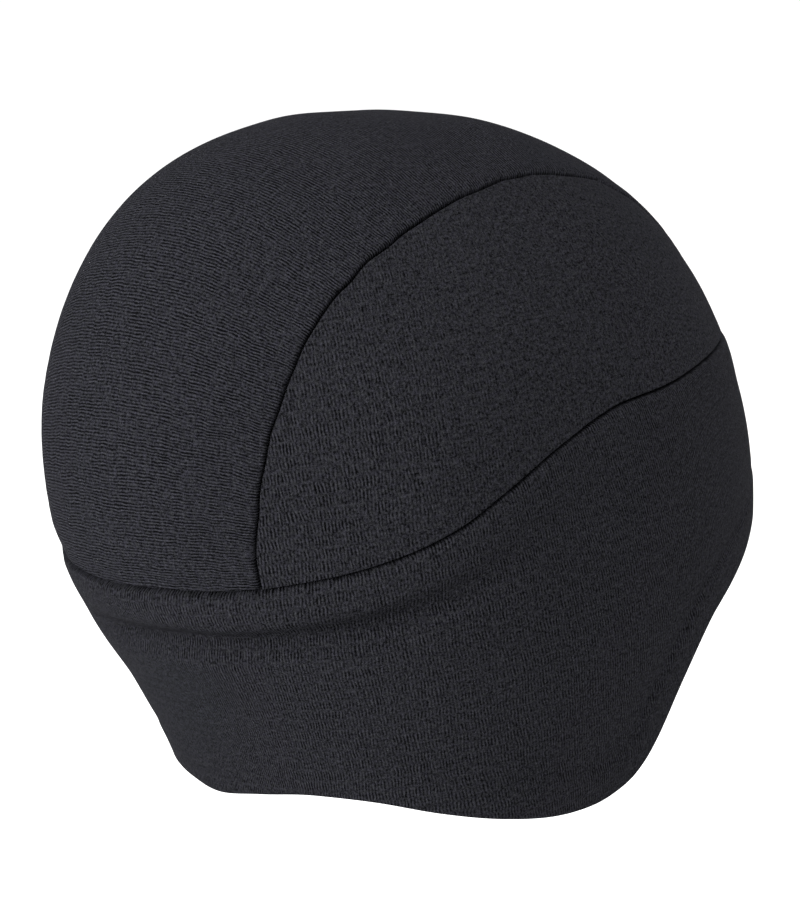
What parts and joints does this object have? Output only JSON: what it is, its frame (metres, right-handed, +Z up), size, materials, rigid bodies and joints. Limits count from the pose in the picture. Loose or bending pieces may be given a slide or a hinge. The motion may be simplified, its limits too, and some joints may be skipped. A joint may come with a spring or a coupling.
{
  "type": "winter skull cap",
  "caption": "Close-fitting stretch-fleece skull cap with a crown strip, side panels and a deep hemmed band that covers the ears, shaped as worn.",
  "frame": {"origin": "on the inner face of the crown, where the cap rests on top of the head", "axes": "+Z up, -Y the way the face looks, +X to the wearer's left"},
  "size_m": [0.1676, 0.2069, 0.1847],
  "materials": {
    "fleece_strip": "fine-ribbed matt charcoal stretch fleece, ribs across the strip",
    "fleece_sides": "fine-ribbed matt charcoal stretch fleece, ribs upright",
    "fleece_band": "fine-ribbed matt charcoal stretch fleece, ribs upright, soft folded hem"
  },
  "bodies": {
    "root": {"crown_strip": "fleece_strip", "side_panel_left": "fleece_sides", "side_panel_right": "fleece_sides", "ear_band": "fleece_band"}
  },
  "joints": []
}
